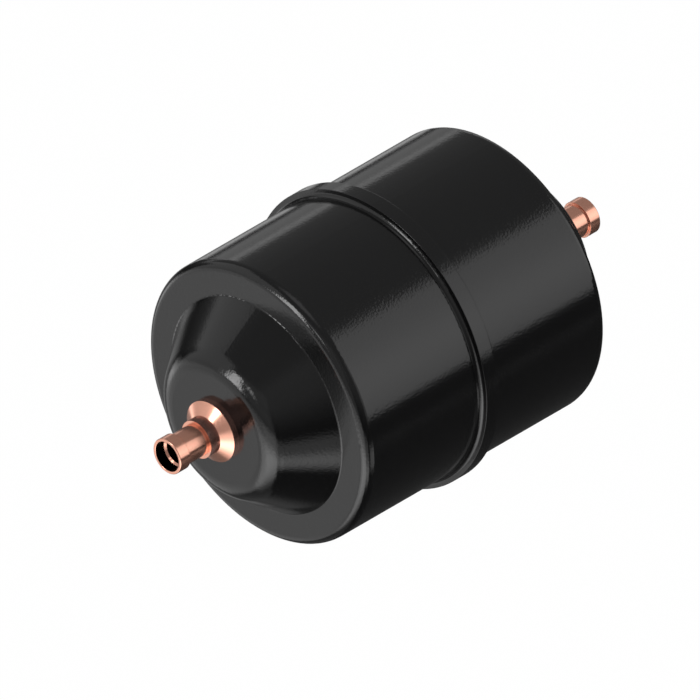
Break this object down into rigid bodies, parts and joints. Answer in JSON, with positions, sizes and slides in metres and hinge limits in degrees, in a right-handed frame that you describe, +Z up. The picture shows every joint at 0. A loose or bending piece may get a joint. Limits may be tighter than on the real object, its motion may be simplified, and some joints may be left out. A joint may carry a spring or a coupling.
{
  "type": "bi-flow filter drier",
  "caption": "Painted steel drum with a proud middle seam, a rounded conical boss on each end and a copper solder socket on each boss, with check valves and a drying core inside.",
  "frame": {"origin": "centre of the drum, on its axis", "axes": "+X along the drum's axis towards the rear port, +Z up"},
  "size_m": [0.175, 0.097, 0.097],
  "materials": {
    "shell_paint": "gloss black stoved paint with a fine orange peel",
    "seam_filler": "weld run round the lap, under the same black paint",
    "bushing_copper": "turned copper with fine lathe lines",
    "tube_copper": "bright drawn copper tube with fine brushing round it",
    "braze": "run and frozen braze, slightly uneven",
    "plate_steel": "rolled steel sheet, punched",
    "valve_steel": "lapped stainless steel",
    "stamped_steel": "stamped bright steel sheet",
    "rivet_steel": "zinc plated",
    "spring_steel": "drawn spring wire",
    "screen_wire": "fine woven wire mesh",
    "gasket_fibre": "pressed fibre board",
    "desiccant": "baked block of bound beads, porous",
    "felt": "thick polyester felt"
  },
  "bodies": {
    "drier": {"front_shell": "shell_paint", "rear_shell": "shell_paint", "seam_weld": "seam_filler", "front_port_bushing": "bushing_copper", "rear_port_bushing": "bushing_copper", "front_port_tube": "tube_copper", "rear_port_tube": "tube_copper", "front_braze_ring": "braze", "rear_braze_ring": "braze", "front_valve_plate": "plate_steel", "rear_valve_plate": "plate_steel", "front_inlet_guard": "stamped_steel", "rear_inlet_guard": "stamped_steel", "front_outlet_cage": "stamped_steel", "rear_outlet_cage": "stamped_steel", "front_rivets": "rivet_steel", "rear_rivets": "rivet_steel", "front_core_cap": "stamped_steel", "rear_core_cap": "stamped_steel", "front_core_gasket": "gasket_fibre", "rear_core_gasket": "gasket_fibre", "front_neck_gasket": "gasket_fibre", "core_spring": "spring_steel", "desiccant_core": "desiccant", "filter_felt": "felt", "core_tube": "stamped_steel", "inner_screen": "screen_wire"},
    "front_inlet_valve": {"front_inlet_valve": "valve_steel"},
    "rear_inlet_valve": {"rear_inlet_valve": "valve_steel"},
    "front_outlet_valve": {"front_outlet_valve": "valve_steel"},
    "rear_outlet_valve": {"rear_outlet_valve": "valve_steel"}
  },
  "joints": [
    {"name": "front_inlet_lift", "type": "slide", "parent": "drier", "child": "front_inlet_valve", "axis": [1, 0, 0], "range_m": [0, 0.0025]},
    {"name": "rear_inlet_lift", "type": "slide", "parent": "drier", "child": "rear_inlet_valve", "axis": [-1, 0, 0], "range_m": [0, 0.0025]},
    {"name": "front_outlet_lift", "type": "slide", "parent": "drier", "child": "front_outlet_valve", "axis": [-1, 0, 0], "range_m": [0, 0.003]},
    {"name": "rear_outlet_lift", "type": "slide", "parent": "drier", "child": "rear_outlet_valve", "axis": [1, 0, 0], "range_m": [0, 0.003]}
  ]
}
